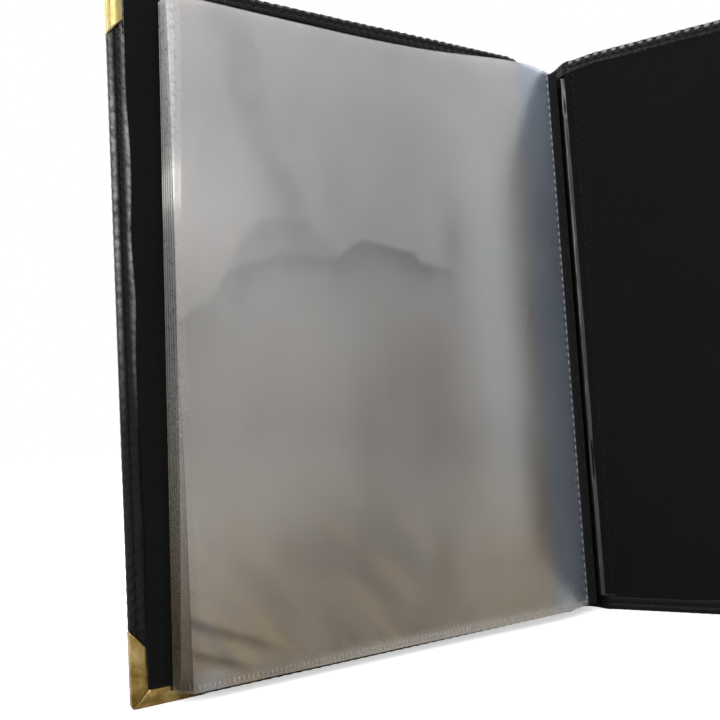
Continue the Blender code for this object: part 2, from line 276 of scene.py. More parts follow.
class Shader:
    """A material, or the world, with a short way to add nodes."""

    def __init__(self, name, kind="materials", main="Principled BSDF", **values):
        self.owner = getattr(bpy.data, kind).new(name)
        self.owner.use_nodes = True
        self.tree = self.owner.node_tree
        self.main = self.tree.nodes[main]
        for key, value in values.items():
            self.set(self.main, key.replace("_", " "), value)
        self.coordinates = self.node("ShaderNodeTexCoord").outputs["Object"]

    def set(self, node, socket, value):
        target = node.inputs[socket]
        if isinstance(value, bpy.types.NodeSocket):
            self.tree.links.new(value, target)
        elif isinstance(value, tuple) and len(value) == 3 and target.type == "RGBA":
            target.default_value = (*value, 1.0)
        else:
            target.default_value = value

    def node(self, kind, properties=None, **values):
        made = self.tree.nodes.new(kind)
        for key, value in (properties or {}).items():
            setattr(made, key, value)
        for key, value in values.items():
            self.set(made, key.replace("_", " "), value)
        return made

    def noise(self, scale, detail=3.0, roughness=0.55, distortion=0.0, stretch=None):
        vector = self.coordinates
        if stretch is not None:
            mapping = self.node("ShaderNodeMapping", Vector=vector)
            mapping.inputs["Scale"].default_value = stretch
            vector = mapping.outputs["Vector"]
        made = self.node(
            "ShaderNodeTexNoise", Vector=vector, Scale=scale, Detail=detail, Roughness=roughness,
            Distortion=distortion,
        )
        return made.outputs["Fac"]

    def cells(self, scale, feature="F1", randomness=1.0):
        made = self.node(
            "ShaderNodeTexVoronoi", {"feature": feature}, Vector=self.coordinates, Scale=scale,
            Randomness=randomness,
        )
        return made.outputs["Distance"]

    def ramp(self, factor, *stops):
        made = self.node("ShaderNodeValToRGB", Fac=factor)
        elements = made.color_ramp.elements
        while len(elements) < len(stops):
            elements.new(0.5)
        for element, (position, colour) in zip(elements, stops):
            element.position = position
            element.color = (*colour, 1.0) if isinstance(colour, tuple) else (colour, colour, colour, 1.0)
        return made.outputs["Color"]

    def remap(self, factor, low, high, to_low, to_high, soft=False):
        made = self.node(
            "ShaderNodeMapRange", {"interpolation_type": "SMOOTHSTEP" if soft else "LINEAR"}, Value=factor,
        )
        for key, value in (("From Min", low), ("From Max", high), ("To Min", to_low), ("To Max", to_high)):
            made.inputs[key].default_value = value
        return made.outputs["Result"]

    def math(self, operation, first, second):
        made = self.node("ShaderNodeMath", {"operation": operation})
        self.set(made, 0, first)
        self.set(made, 1, second)
        return made.outputs["Value"]

    def mix(self, factor, first, second, blend="MIX"):
        made = self.node("ShaderNodeMix", {"data_type": "RGBA", "blend_type": blend})
        for index, value in ((0, factor), (6, first), (7, second)):
            self.set(made, index, value)
        return made.outputs[2]

    def axis(self, name):
        return self.node("ShaderNodeSeparateXYZ", Vector=self.coordinates).outputs[name]

    def stray(self, value, pattern, amount):
        """Shifts a value by a pattern that runs about 0.5."""
        return self.math("ADD", value, self.math("MULTIPLY", self.math("SUBTRACT", pattern, 0.5), amount))

    def bump(self, height, strength, distance, before=None):
        made = self.node("ShaderNodeBump", Height=height, Strength=strength, Distance=distance)
        if before is not None:
            self.set(made, "Normal", before)
        return made.outputs["Normal"]

    def finish(self, **values):
        for key, value in values.items():
            self.set(self.main, key.replace("_", " "), value)
        return self.owner


def leatherette():
    """Grained black leatherette: fine pebbles, soft creases, a top coat polished where hands hold it, and
    painted highlights in light grey on the border's ridges.
    """
    s = Shader("black leatherette", Specular_IOR_Level=0.12)
    pebbles = s.cells(900.0)
    fine = s.noise(2600.0, 2.0)
    creases = s.noise(70.0, 5.0, 0.6, 0.4)
    foot_clouds = s.cells(330.0, "SMOOTH_F1")
    grain = s.bump(pebbles, 0.45, 0.0003)
    grain = s.bump(foot_clouds, 0.35, 0.0005, grain)
    grain = s.bump(fine, 0.2, 0.0001, grain)
    grain = s.bump(creases, 0.3, 0.0006, grain)
    tone = s.ramp(creases, (0.3, (0.0030, 0.0030, 0.0029)), (0.75, (0.0075, 0.0073, 0.0070)))
    tone = s.mix(s.remap(pebbles, 0.1, 0.7, 0.0, 0.35), tone, (0.002, 0.002, 0.002))
    # Painted highlight: light grey on the border's ridges where the mesh asks for it, broken up by noise.
    painted_highlight = s.node("ShaderNodeAttribute", {"attribute_name": "painted_highlight"}).outputs["Fac"]
    highlight_amount = s.math("MULTIPLY", painted_highlight, s.remap(s.noise(420.0, 3.0), 0.3, 0.65, 0.25, 1.0))
    tone = s.mix(highlight_amount, tone, (0.32, 0.315, 0.305))
    polish = s.stray(s.axis("Z"), s.noise(38.0, 4.0), 0.25)
    gloss = s.remap(polish, 0.05, 0.32, 0.5, 0.24)
    return s.finish(Base_Color=tone, Roughness=gloss, Normal=grain)


def felt():
    """Matte black felt with short lying fibres."""
    s = Shader("black felt", Specular_IOR_Level=0.05, Sheen_Weight=0.025, Sheen_Roughness=0.5)
    s.set(s.main, "Sheen Tint", (0.5, 0.49, 0.47))
    fibres = s.noise(1900.0, 4.0, 0.7, 0.6)
    lie = s.noise(320.0, 4.0, 0.65, 1.2, (1.0, 1.0, 0.35))
    clouds = s.noise(16.0, 4.0)
    tone = s.ramp(fibres, (0.3, 0.0032), (0.72, (0.0105, 0.0102, 0.0100)))
    tone = s.mix(s.remap(clouds, 0.35, 0.7, 0.0, 0.45), tone, (0.0048, 0.0048, 0.0050))
    nap = s.bump(fibres, 0.6, 0.0002)
    nap = s.bump(lie, 0.4, 0.0003, nap)
    return s.finish(Base_Color=tone, Roughness=s.remap(fibres, 0.3, 0.7, 0.85, 1.0), Normal=nap)


def brass():
    """Thin stamped brass: brighter at the head, darker and browner towards the foot, with fine scratches.
    """
    s = Shader("worn brass", Metallic=1.0)
    patches = s.noise(130.0, 5.0, 0.6, 0.5)
    scratches = s.noise(900.0, 3.0, 0.6, 0.0, (1.0, 1.0, 0.08))
    spots = s.cells(420.0)
    bright = s.ramp(
        patches, (0.28, (0.34, 0.27, 0.095)), (0.5, (0.40, 0.33, 0.145)), (0.78, (0.46, 0.395, 0.21)),
    )
    dull = s.ramp(
        patches, (0.3, (0.10, 0.058, 0.010)), (0.5, (0.23, 0.155, 0.045)), (0.75, (0.42, 0.31, 0.13)),
    )
    tone = s.mix(s.remap(s.axis("Z"), 0.02, 0.29, 1.0, 0.0), bright, dull)
    tone = s.mix(s.remap(spots, 0.0, 0.12, 0.5, 0.0), tone, (0.10, 0.06, 0.015))
    gloss = s.math("ADD", s.remap(patches, 0.3, 0.75, 0.3, 0.16), s.remap(scratches, 0.35, 0.7, 0.0, 0.1))
    dents = s.bump(scratches, 0.1, 0.0001)
    dents = s.bump(patches, 0.22, 0.0005, dents)
    return s.finish(Base_Color=tone, Roughness=gloss, Normal=dents)


def film():
    """Hazy clear film: its haze and painted reflections lie in the mesh; fine rubbing varies the gloss."""
    s = Shader("hazy clear film", Alpha=0.3, IOR=1.5, Metallic=0.6)
    haze_and_reflection = s.node("ShaderNodeVertexColor", {"layer_name": "haze_and_reflection"}).outputs["Color"]
    rubbing = s.noise(55.0, 2.0, 0.5, 0.0, (1.0, 1.0, 0.4))
    tone = s.mix(s.remap(rubbing, 0.35, 0.7, 0.0, 0.1), haze_and_reflection, (0.8, 0.8, 0.8))
    return s.finish(Base_Color=tone, Roughness=s.remap(rubbing, 0.3, 0.7, 0.17, 0.25))


def weld(name, alpha, foot_dark, foot_light, long_edge=False):
    """Film melted together under a jaw: whiter and less clear, and browner towards the foot.
    A long edge is clear at its foot and has a painted glint above the middle."""
    s = Shader(name, Alpha=alpha, Metallic=0.3, Specular_IOR_Level=0.6)
    frost = s.noise(600.0, 2.0, 0.7)
    clean = s.ramp(frost, (0.3, (0.5, 0.5, 0.495)), (0.7, (0.76, 0.76, 0.755)))
    yellow = s.ramp(frost, (0.3, foot_dark), (0.7, foot_light))
    tone = s.mix(s.remap(s.axis("Z"), 0.03, 0.26, 1.0, 0.0), clean, yellow)
    roughness = s.remap(frost, 0.3, 0.7, 0.25, 0.45)
    if not long_edge:
        return s.finish(Base_Color=tone, Roughness=roughness)
    # Painted glint: whiter and less clear in a band above the middle.
    height = s.axis("Z")
    rising, falling = s.remap(height, 0.196, 0.210, 0.0, 1.0), s.remap(height, 0.221, 0.236, 1.0, 0.0)
    painted_glint = s.math("MULTIPLY", rising, falling)
    tone = s.mix(painted_glint, tone, (0.95, 0.94, 0.91))
    solid = s.math("MAXIMUM", s.remap(height, 0.008, 0.017, 0.08, alpha), s.math("MULTIPLY", painted_glint, 0.85))
    return s.finish(Base_Color=tone, Roughness=roughness, Alpha=solid)


def vinyl():
    """Glossy black vinyl with a fine slip texture and a few soft creases."""
    s = Shader("black vinyl", Specular_IOR_Level=0.55)
    fine = s.noise(1500.0, 2.0)
    creases = s.noise(90.0, 4.0, 0.6, 0.8, (1.0, 1.0, 0.3))
    normal = s.bump(fine, 0.1, 0.0001)
    normal = s.bump(creases, 0.35, 0.0006, normal)
    tone = s.ramp(creases, (0.3, (0.005, 0.005, 0.0047)), (0.7, (0.011, 0.0108, 0.0100)))
    return s.finish(Base_Color=tone, Roughness=s.remap(creases, 0.3, 0.7, 0.18, 0.32), Normal=normal)


def fibrous(name, specular, pattern, dark, light, roughness, relief):
    """Dull fibrous stuff: one pattern of noise gives its tone, its roughness and its relief."""
    s = Shader(name, Specular_IOR_Level=specular)
    fibre = s.noise(*pattern)
    return s.finish(
        Base_Color=s.ramp(fibre, (0.3, dark), (0.7, light)),
        Roughness=s.remap(fibre, 0.3, 0.7, *roughness), Normal=s.bump(fibre, *relief),
    )


def pale_floor():
    """Pale floor that reads white and keeps the shadow."""
    s = Shader("pale floor", Base_Color=(0.86, 0.86, 0.86), Roughness=1.0, Specular_IOR_Level=0.0)
    seen = s.node("ShaderNodeLightPath").outputs["Is Camera Ray"]
    return s.finish(Emission_Color=(1.0, 1.0, 1.0), Emission_Strength=s.math("MULTIPLY", seen, 0.56))


MATERIALS = {
    "leatherette": leatherette(),
    "felt": felt(),
    "brass": brass(),
    "film": film(),
    "weld": weld("welded film", 0.5, (0.092, 0.067, 0.043), (0.16, 0.122, 0.084), long_edge=True),
    "ribs": weld("ribbed weld", 0.6, (0.38, 0.36, 0.33), (0.7, 0.68, 0.65)),
    "vinyl": vinyl(),
    "tape": fibrous(
        "black tape", 0.12, (1700.0, 2.0, 0.5, 0.0, (1.0, 1.0, 0.5)),
        0.0025, 0.008, (0.65, 0.9), (0.4, 0.0002),
    ),
    "thread": fibrous(
        "black thread", 0.2, (2400.0, 2.0, 0.5, 0.0, (1.0, 1.0, 0.6)),
        0.003, (0.010, 0.010, 0.0095), (0.5, 0.7), (0.5, 0.0002),
    ),
    "greyboard": fibrous(
        "greyboard", 0.2, (700.0, 6.0, 0.7, 0.5),
        (0.2, 0.185, 0.16), (0.36, 0.34, 0.3), (0.85, 1.0), (0.4, 0.0003),
    ),
    "floor": pale_floor(),
}


# Covers

# Border section from its cut edge on the lining to the middle of the edge, as inset, depth, and swell
# between stitches
HALF_SECTION = np.array([
    (8.00, 0.55, 0.00), (8.00, 0.26, 0.00), (7.86, 0.04, 0.01), (7.40, -0.12, 0.04),
    (6.60, -0.24, 0.08), (5.60, -0.25, 0.12), (4.80, -0.12, 0.11), (4.20, 0.10, 0.03),
    (3.70, 0.26, -0.06), (3.20, 0.12, 0.04), (2.65, -0.10, 0.15), (2.05, -0.18, 0.22),
    (1.45, -0.08, 0.24), (0.95, 0.14, 0.23), (0.50, 0.48, 0.19), (0.18, 0.98, 0.11), (0.04, 1.50, 0.04),
]) * MM
EDGE_MIDDLE = np.array([(0.0, 2.0, 0.0)]) * MM
FLAT_ENDS = np.array([(5.6, 4.0, 0.0), (6.2, 4.0, 0.0), (6.8, 4.0, 0.0)]) * MM


def border_section():
    """Inset, depth and swell of every column, from the cut edge inside, round to the outer panel."""
    outer = HALF_SECTION[:5:-1].copy()
    outer[:, 1] = THICKNESS - outer[:, 1]
    outer[-1, 1] = THICKNESS + 0.05 * MM
    return np.concatenate([HALF_SECTION, EDGE_MIDDLE, outer, FLAT_ENDS])


def stitch_count(length):
    return round(length / STITCH_PITCH)


def run_place(run, t, inset):
    """(u, z, distance to the nearest fore-edge corner) on the foot, fore-edge or head run at an inset."""
    corner_u = FORE_EDGE - inset
    if run == FORE_RUN:
        z = inset + t * (HEIGHT - 2 * inset)
        return np.broadcast_arrays(corner_u, z, np.minimum(z, HEIGHT - z))
    share = t if run == FOOT_RUN else 1.0 - t
    u = HINGE_SETBACK + share * (corner_u - HINGE_SETBACK)
    return np.broadcast_arrays(u, inset if run == FOOT_RUN else HEIGHT - inset, FORE_EDGE - u)


def head_dip(cover, u):
    """How far the head sinks towards the soft spine, where the sewn margins pull it down."""
    return HEAD_DIPS[cover] * smooth(27 * MM, HINGE_SETBACK - 1 * MM, u)


def section_outward(section):
    """Unit vectors out of the border's section, as (inset, depth)."""
    tangent = np.gradient(section[:, :2], axis=0)
    normal = np.stack([-tangent[:, 1], tangent[:, 0]], 1)
    normal /= np.maximum(np.linalg.norm(normal, axis=1, keepdims=True), 1e-12)
    middle = np.array([4.0 * MM, THICKNESS / 2])
    facing = np.sign(np.sum(normal * (section[:, :2] - middle), axis=1, keepdims=True))
    return normal * np.where(facing == 0, 1, facing)


def wrap_cover(cover, seed):
    """Leatherette folded round the board: a puffed, stitched border, rounded edges and the outer panel."""
    section = border_section()
    outward = section_outward(section)
    outer_ridge = hump(section[:, 0], 0.9 * MM, 1.1 * MM, 1.6 * MM)
    cut_edge = hump(section[:, 0], 7.2 * MM, 2.2 * MM, 1.0 * MM) * (section[:, 1] < THICKNESS / 2)
    crest = hump(section[:, 0], 1.6 * MM, 1.7 * MM, 1.4 * MM)
    grids, painted_highlights = [], []
    for run, length in enumerate(RUN_LENGTHS):
        t = np.linspace(0.0, 1.0, stitch_count(length) * ROWS_PER_STITCH + 1)[:, None]
        way = t * length
        phase = np.cos(2 * math.pi * way / STITCH_PITCH)
        strength = 0.85 + 0.7 * wander(way, 38 * MM, seed + run)
        swell = -phase * section[:, 2] * strength
        inset = section[:, 0] + outward[:, 0] * swell
        depth = section[:, 1] + outward[:, 1] * swell
        inner = (section[:, 1] < THICKNESS / 2) & (section[:, 0] > 4.5 * MM)
        stray = 1.1 * MM * wander(way, 33 * MM, seed + 10 + run) - 0.4 * MM
        inset = inset + inner * stray * smooth(4.5 * MM, 8 * MM, section[:, 0])
        corner = run_place(run, t, inset)[2] - inset * (run == FORE_RUN)
        under_brass = smooth(0.0, 1.6 * MM, CORNER_LEG + 0.4 * MM - inset - corner)
        under_brass = under_brass * smooth(TAB_WIDTH + 1.0 * MM, TAB_WIDTH, inset)
        sunk = 0.55 * MM * under_brass * (np.arange(len(section)) < len(section) - 1)
        inset = inset - outward[:, 0] * sunk
        depth = depth - outward[:, 1] * sunk
        u, z, _ = run_place(run, t, np.maximum(inset, 0.0))
        z = z - head_dip(cover, u) * (run == HEAD_RUN)
        grid = cover_points(cover, u, depth, z)
        # Painted highlight: the border's ridges are lighter in the upper part of the cover, and the head's
        # crest between the stitches.
        upper_highlight = smooth(105 * MM, 190 * MM, z) * (0.75 + 0.7 * wander(way, 24 * MM, seed + 20 + run))
        if run == HEAD_RUN:
            ridge_highlight = HEAD_HIGHLIGHT[cover] * crest * (0.6 - 1.1 * phase)
        else:
            ridge_highlight = (1.1 * outer_ridge + 1.5 * cut_edge) * (0.85 - 0.15 * phase)
        painted_highlight = np.clip(ridge_highlight * upper_highlight, 0.0, 1.0)
        shared = 0 if run == FOOT_RUN else 1  # rows that the run before has drawn
        grids.append(grid[shared:])
        painted_highlights.append(painted_highlight[shared:])
    points = np.concatenate(grids)
    rows, columns, _ = points.shape
    flip = COVERS[cover][1] < 0
    faces = grid_faces(rows, columns, flip=flip)
    panel = [row * columns + columns - 1 for row in range(rows)]
    faces.append(tuple(panel if flip else panel[::-1]))
    piece = make_piece(f"{cover}_wrap", points, faces, "leatherette")
    piece.data.polygons[len(faces) - 1].use_smooth = False
    add_painted_highlight(piece, np.concatenate(painted_highlights))
    solidify(piece, LEATHER)
    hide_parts(f"{cover}_skin")
    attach(piece, cover)


def line_cover(cover, seed):
    """Felt panel glued to the board, tucked under the border."""
    edge = BORDER - 1.5 * MM
    u = np.linspace(HINGE_SETBACK + 0.2 * MM, FORE_EDGE - edge, 48)[None, :]
    z = np.linspace(edge, HEIGHT - edge, 60)[:, None]
    depth = 0.56 * MM + 0.07 * MM * wander2(u, z, 24 * MM, seed)
    piece = sheet_piece(f"{cover}_felt", cover_points(cover, u, depth, z), FELT, "felt")
    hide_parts(f"{cover}_lining")
    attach(piece, cover)


def stitch_arc(cover, ends, hole, crown, outer):
    """One stitch between two ends (u, z, ...); hole and crown are its depths at the ends and between."""
    shares = np.linspace(0.0, 1.0, 6)
    rise = np.sin(math.pi * shares) ** 0.6
    u = ends[0][0] + (ends[1][0] - ends[0][0]) * shares
    z = ends[0][1] + (ends[1][1] - ends[0][1]) * shares
    z = z - head_dip(cover, u) * (z > HEIGHT - BORDER)
    depth = hole + (crown - hole) * rise
    return cover_points(cover, u, THICKNESS - depth if outer else depth, z)


def board_cover(cover):
    """Greyboard core with its head eased off towards the spine."""
    gap, faces_at = 1.2 * MM, (1.0 * MM, 3.0 * MM)
    near, far = HINGE_SETBACK + gap, FORE_EDGE - gap
    low, high = gap, HEIGHT - gap
    heads = np.linspace(far, near, 12)
    u = np.concatenate([[near, far], heads])
    z = np.concatenate([[low, low], high - head_dip(cover, heads)])
    count = len(u)
    points = np.concatenate([cover_points(cover, u, depth, z) for depth in faces_at])
    flip = COVERS[cover][1] < 0
    inner, outer = tuple(range(count)), tuple(range(2 * count - 1, count - 1, -1))
    faces = [inner, outer]
    faces += [(i, i + count, (i + 1) % count + count, (i + 1) % count) for i in range(count)]
    faces = [face[::-1] for face in faces] if flip else faces
    piece = make_piece(f"{cover}_core", points, faces, "greyboard", smooth_shading=False)
    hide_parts(f"{cover}_board")
    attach(piece, cover)


def band_cover(cover):
    """Felt facing turned over the hinge strip's flange, so that only the strip's bulge shows."""
    u = np.array([7.6, 7.9, 8.6, 10.0, 11.2, 12.4, 13.4, 14.4, 15.4, 16.4, 17.0])[None, :] * MM
    z = np.linspace(BORDER + 0.4 * MM, HEIGHT - BORDER - 0.4 * MM, 90)[:, None]
    edge = 0.25 * MM * wander(z, 21 * MM, 61) * smooth(12 * MM, 8 * MM, u)
    press = 0.14 * MM * np.exp(-((u - GUTTER_STITCH_U) / (0.8 * MM)) ** 2)
    sink = 0.72 * MM * smooth(13.0 * MM, 17.0 * MM, u)
    depth = -0.2 * MM + sink + press + 0.12 * MM * smooth(8 * MM, 7.6 * MM, u)
    top = z - head_dip(cover, u) * smooth(HEIGHT - 40 * MM, HEIGHT, z)
    points = cover_points(cover, u + edge, depth, top)
    piece = sheet_piece(f"{cover}_hinge_facing", points, FACING, "felt")
    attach(piece, cover)


def sew_cover(cover):
    """Border stitches on both faces and the row that holds the hinge strip."""
    strands = []
    for run, length in enumerate(RUN_LENGTHS):
        for index in range(stitch_count(length)):
            middle = (index + 0.5) * STITCH_PITCH
            ways = (middle - STITCH_HALF, middle + STITCH_HALF)
            ends = [run_place(run, way / length, STITCH_INSET) for way in ways]
            if ends[1][2] < CORNER_LEG - STITCH_INSET + 1.5 * MM:
                continue  # under the brass
            for outer in (False, True):
                strands.append(stitch_arc(cover, ends, hole=0.55 * MM, crown=-0.02 * MM, outer=outer))
    count = int((HEIGHT - 2 * BORDER) / GUTTER_STITCH_PITCH)
    for index in range(count):
        z = BORDER + 2 * MM + index * GUTTER_STITCH_PITCH
        ends = [(GUTTER_STITCH_U, z), (GUTTER_STITCH_U, z + GUTTER_STITCH_LENGTH)]
        strands.append(stitch_arc(cover, ends, hole=0.1 * MM, crown=-0.3 * MM, outer=False))
    piece = tube_strands(f"{cover}_stitching", strands, STITCH_RADIUS, 6, "thread")
    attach(piece, cover)


def round_tip(first, second, radius):
    """Moves points near the tip of a square corner onto a round one."""
    x, y = np.broadcast_arrays(first, second)
    dx, dy = radius - x, radius - y
    inside = (dx > 0) & (dy > 0)
    longest = np.maximum(dx, dy)
    reach = np.maximum(np.hypot(dx, dy), 1e-12)
    factor = np.where(inside, longest / reach, 1.0)
    return np.where(inside, radius - dx * factor, x), np.where(inside, radius - dy * factor, y)


def corner_section():
    """Inset and depth of a folded corner, from the tab's edge to the middle of the outer triangle."""
    proud = 0.16 * MM
    fold = 0.9 * MM
    section = [(TAB_WIDTH, 0.3 * MM), (TAB_WIDTH - 0.05 * MM, 0.02 * MM)]
    for inset in np.linspace(TAB_WIDTH - 0.3 * MM, fold, 12):
        swell = 0.7 * MM * math.sin(math.pi * (inset - fold) / (TAB_WIDTH - fold)) ** 0.7
        section.append((inset, -proud - swell))
    for angle in np.linspace(0.0, math.pi / 2, 6)[1:]:
        section.append((fold * (1 - math.sin(angle)), fold * (1 - math.cos(angle)) - proud))
    section.append((0.0, THICKNESS / 2))
    for angle in np.linspace(math.pi / 2, 0.0, 6)[:-1]:
        section.append((fold * (1 - math.sin(angle)), THICKNESS + proud - fold * (1 - math.cos(angle))))
    for inset in np.linspace(fold, CORNER_LEG / 2 - 0.05 * MM, 16):
        section.append((inset, THICKNESS + proud + 0.14 * MM * math.sin(math.pi * inset / CORNER_LEG)))
    return np.array(section)


def brass_corner(cover, at_top):
    """A stamped corner: triangle outside, folded edges and two mitred tabs inside."""
    section = corner_section()
    inset, depth = section[:, 0], section[:, 1]
    shares = np.linspace(0.0, 1.0, 30) ** 1.3
    run = inset + shares[:, None] * (CORNER_LEG - 2 * inset)
    along_edge, along_end = round_tip(inset, run, CORNER_TIP), round_tip(run, inset, CORNER_TIP)
    from_edge = np.concatenate([along_edge[0][::-1], along_end[0][1:]])
    from_end = np.concatenate([along_edge[1][::-1], along_end[1][1:]])
    z = HEIGHT - from_end if at_top else from_end
    dent = 0.05 * MM * wander2(from_edge, from_end, 7 * MM, 3 + at_top)
    tab = (depth < THICKNESS / 2) & (inset > 0.5 * MM) & (inset < TAB_WIDTH - 0.1 * MM)
    mitre = 0.45 * MM * np.exp(-((from_edge - from_end) / (0.55 * MM)) ** 2) * tab
    points = cover_points(cover, FORE_EDGE - from_edge, depth + dent * (inset > 1.5 * MM) + mitre, z)
    rows, columns, _ = points.shape
    flip = (COVERS[cover][1] > 0) != at_top
    label = "top" if at_top else "bottom"
    piece = make_piece(f"{cover}_{label}_brass", points, grid_faces(rows, columns, flip=flip), "brass")
    piece.data.set_sharp_from_angle(angle=BRASS_FOLD_ANGLE)
    solidify(piece, BRASS)
    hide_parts(f"{cover}_{label}_corner")
    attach(piece, cover)


for cover, seed in (("front_cover", 1), ("back_cover", 5)):
    wrap_cover(cover, seed)
    line_cover(cover, seed)
    sew_cover(cover)
    for at_top in (True, False):
        brass_corner(cover, at_top)
    board_cover(cover)
    band_cover(cover)


# Sleeves

def sleeve_frame(number):
    """Direction, middle offset and root of a sleeve; sleeve 1 lies on the front cover."""
    direction = FRONT_DEG + SLEEVE_FAN_DEG * (number - 1) / (SLEEVES - 1)
    offset = (number - (SLEEVES + 1) / 2) * SLEEVE_PITCH
    clear = BUNDLE_RADIUS + 0.3 * MM
    root = math.sqrt(clear**2 - max(abs(offset) - 0.3 * MM, 0.0) ** 2)
    return direction, offset, root


def sleeve_rank(number):
    """0 for the sleeve on the front cover, 1 for the uppermost."""
    return (number - 1) / (SLEEVES - 1)


def sleeve_rise(number, u, z, root):
    """How far a slack sleeve stands off its flat place: it arches out of the gutter, its ends lean back."""
    u, z = np.broadcast_arrays(u, z)
    rank = sleeve_rank(number)
    x = np.maximum(u - root, 0.0) / (29 * MM)
    arch = 4.2 * MM * number / SLEEVES * x * np.exp(1 - x)
    height = (z - HEIGHT / 2) / (HEIGHT / 2)
    foot_lean = 5.0 * MM * (np.maximum(u, 0) / SLEEVE_REACH) ** 1.5 * np.minimum(height, 0) ** 2
    head_lean = 5.4 * MM * smooth(30 * MM, 140 * MM, u) * np.maximum(height, 0) ** 2
    slack = 0.35 * MM * wander2(u, z, 60 * MM, number)
    foot = smooth(70 * MM, 10 * MM, z) * smooth(20 * MM, 60 * MM, u)
    pucker = 0.16 * MM * foot * wander2(u * 0.35, z, 9 * MM, number + 20)
    return arch - rank * (foot_lean + head_lean) + (slack + pucker) * smooth(root, root + 25 * MM, u)


def sleeve_margin(number, share_z):
    """How far a sleeve's pocket has crept in from its weld: more on the upper sleeves and at both ends."""
    ends = 3.0 * smooth(0.6, 1.0, share_z) + 5.2 * np.maximum(1 - share_z / 0.55, 0.0) ** 1.3
    return sleeve_rank(number) * MM * ends


def sleeve_outline(number, share_u, share_z, root):
    """(u, z) on a sleeve whose soft film has crept: its fore-edge leans in and its open mouth sags."""
    share_u, share_z = np.broadcast_arrays(share_u, share_z)
    creep = 3.0 * MM * (1 - 2 * share_z) - sleeve_margin(number, share_z)
    u = root + share_u * (SLEEVE_REACH + creep - root)
    sag = 2.6 * MM * smooth(0.08, 0.42, share_u) * smooth(0.7, 1.0, share_z)
    return u, SLEEVE_BASE + share_z * (SLEEVE_TOP - SLEEVE_BASE) - sag


def sleeve_points(number, u, z, lift=0.0):
    direction, offset, root = sleeve_frame(number)
    return leaf_points(direction, u, offset + lift + sleeve_rise(number, u, z, root), z)


def seat_sleeve(piece, number):
    """A sleeve piece rides on its sleeve."""
    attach(piece, f"sleeve_{number}")
    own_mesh(piece)


# Haze and painted reflections, in millimetres on a sleeve. By height: pale at the mouth, browner towards
# the foot
HAZE_AND_REFLECTION_HEIGHTS = np.array([0, 20, 55, 110, 165, 215, 260, 305])
HAZE_AND_REFLECTION_TONES = np.array([
    (0.21, 0.185, 0.145), (0.22, 0.19, 0.15), (0.235, 0.21, 0.175), (0.26, 0.245, 0.23),
    (0.29, 0.28, 0.272), (0.315, 0.306, 0.30), (0.345, 0.336, 0.33), (0.41, 0.40, 0.395),
])
HAZE_AND_REFLECTION_GAIN = 1.68

# Dark arcs in the painted reflection of the lower fore-edge corner: height at the fore-edge, slope, width,
# end, strength
ARC_START = 232
ARCS = [
    (33.5, 0.45, 5.2, 198, 0.5),
    (20.5, 0.38, 4.4, 208, 0.5),
    (45, 0.28, 1.6, 222, 0.25),
]

# Upper edge of the dark band of painted reflection across a sleeve, as (u, z)
DARK_BAND_EDGE = np.array([
    (80, 184), (90, 186), (101, 189), (112, 192), (122, 196), (134, 198), (146, 195), (155, 189),
    (164, 191), (174, 192), (184, 188), (204, 182), (211, 177), (221, 166), (230, 160),
])

# Upper edge of the thinner dark veil of painted reflection above it, as (u, z)
VEIL_EDGE = np.array([(147, 188), (153, 195), (159, 200), (171, 206), (183, 203), (197, 200), (206, 187)])

# Middle of the faint trail of painted reflection that runs down from the mouth into the dark band, as (z,
# u)
TRAIL = np.array([(200, 174), (214, 178), (236, 190), (277, 201), (305, 201)])


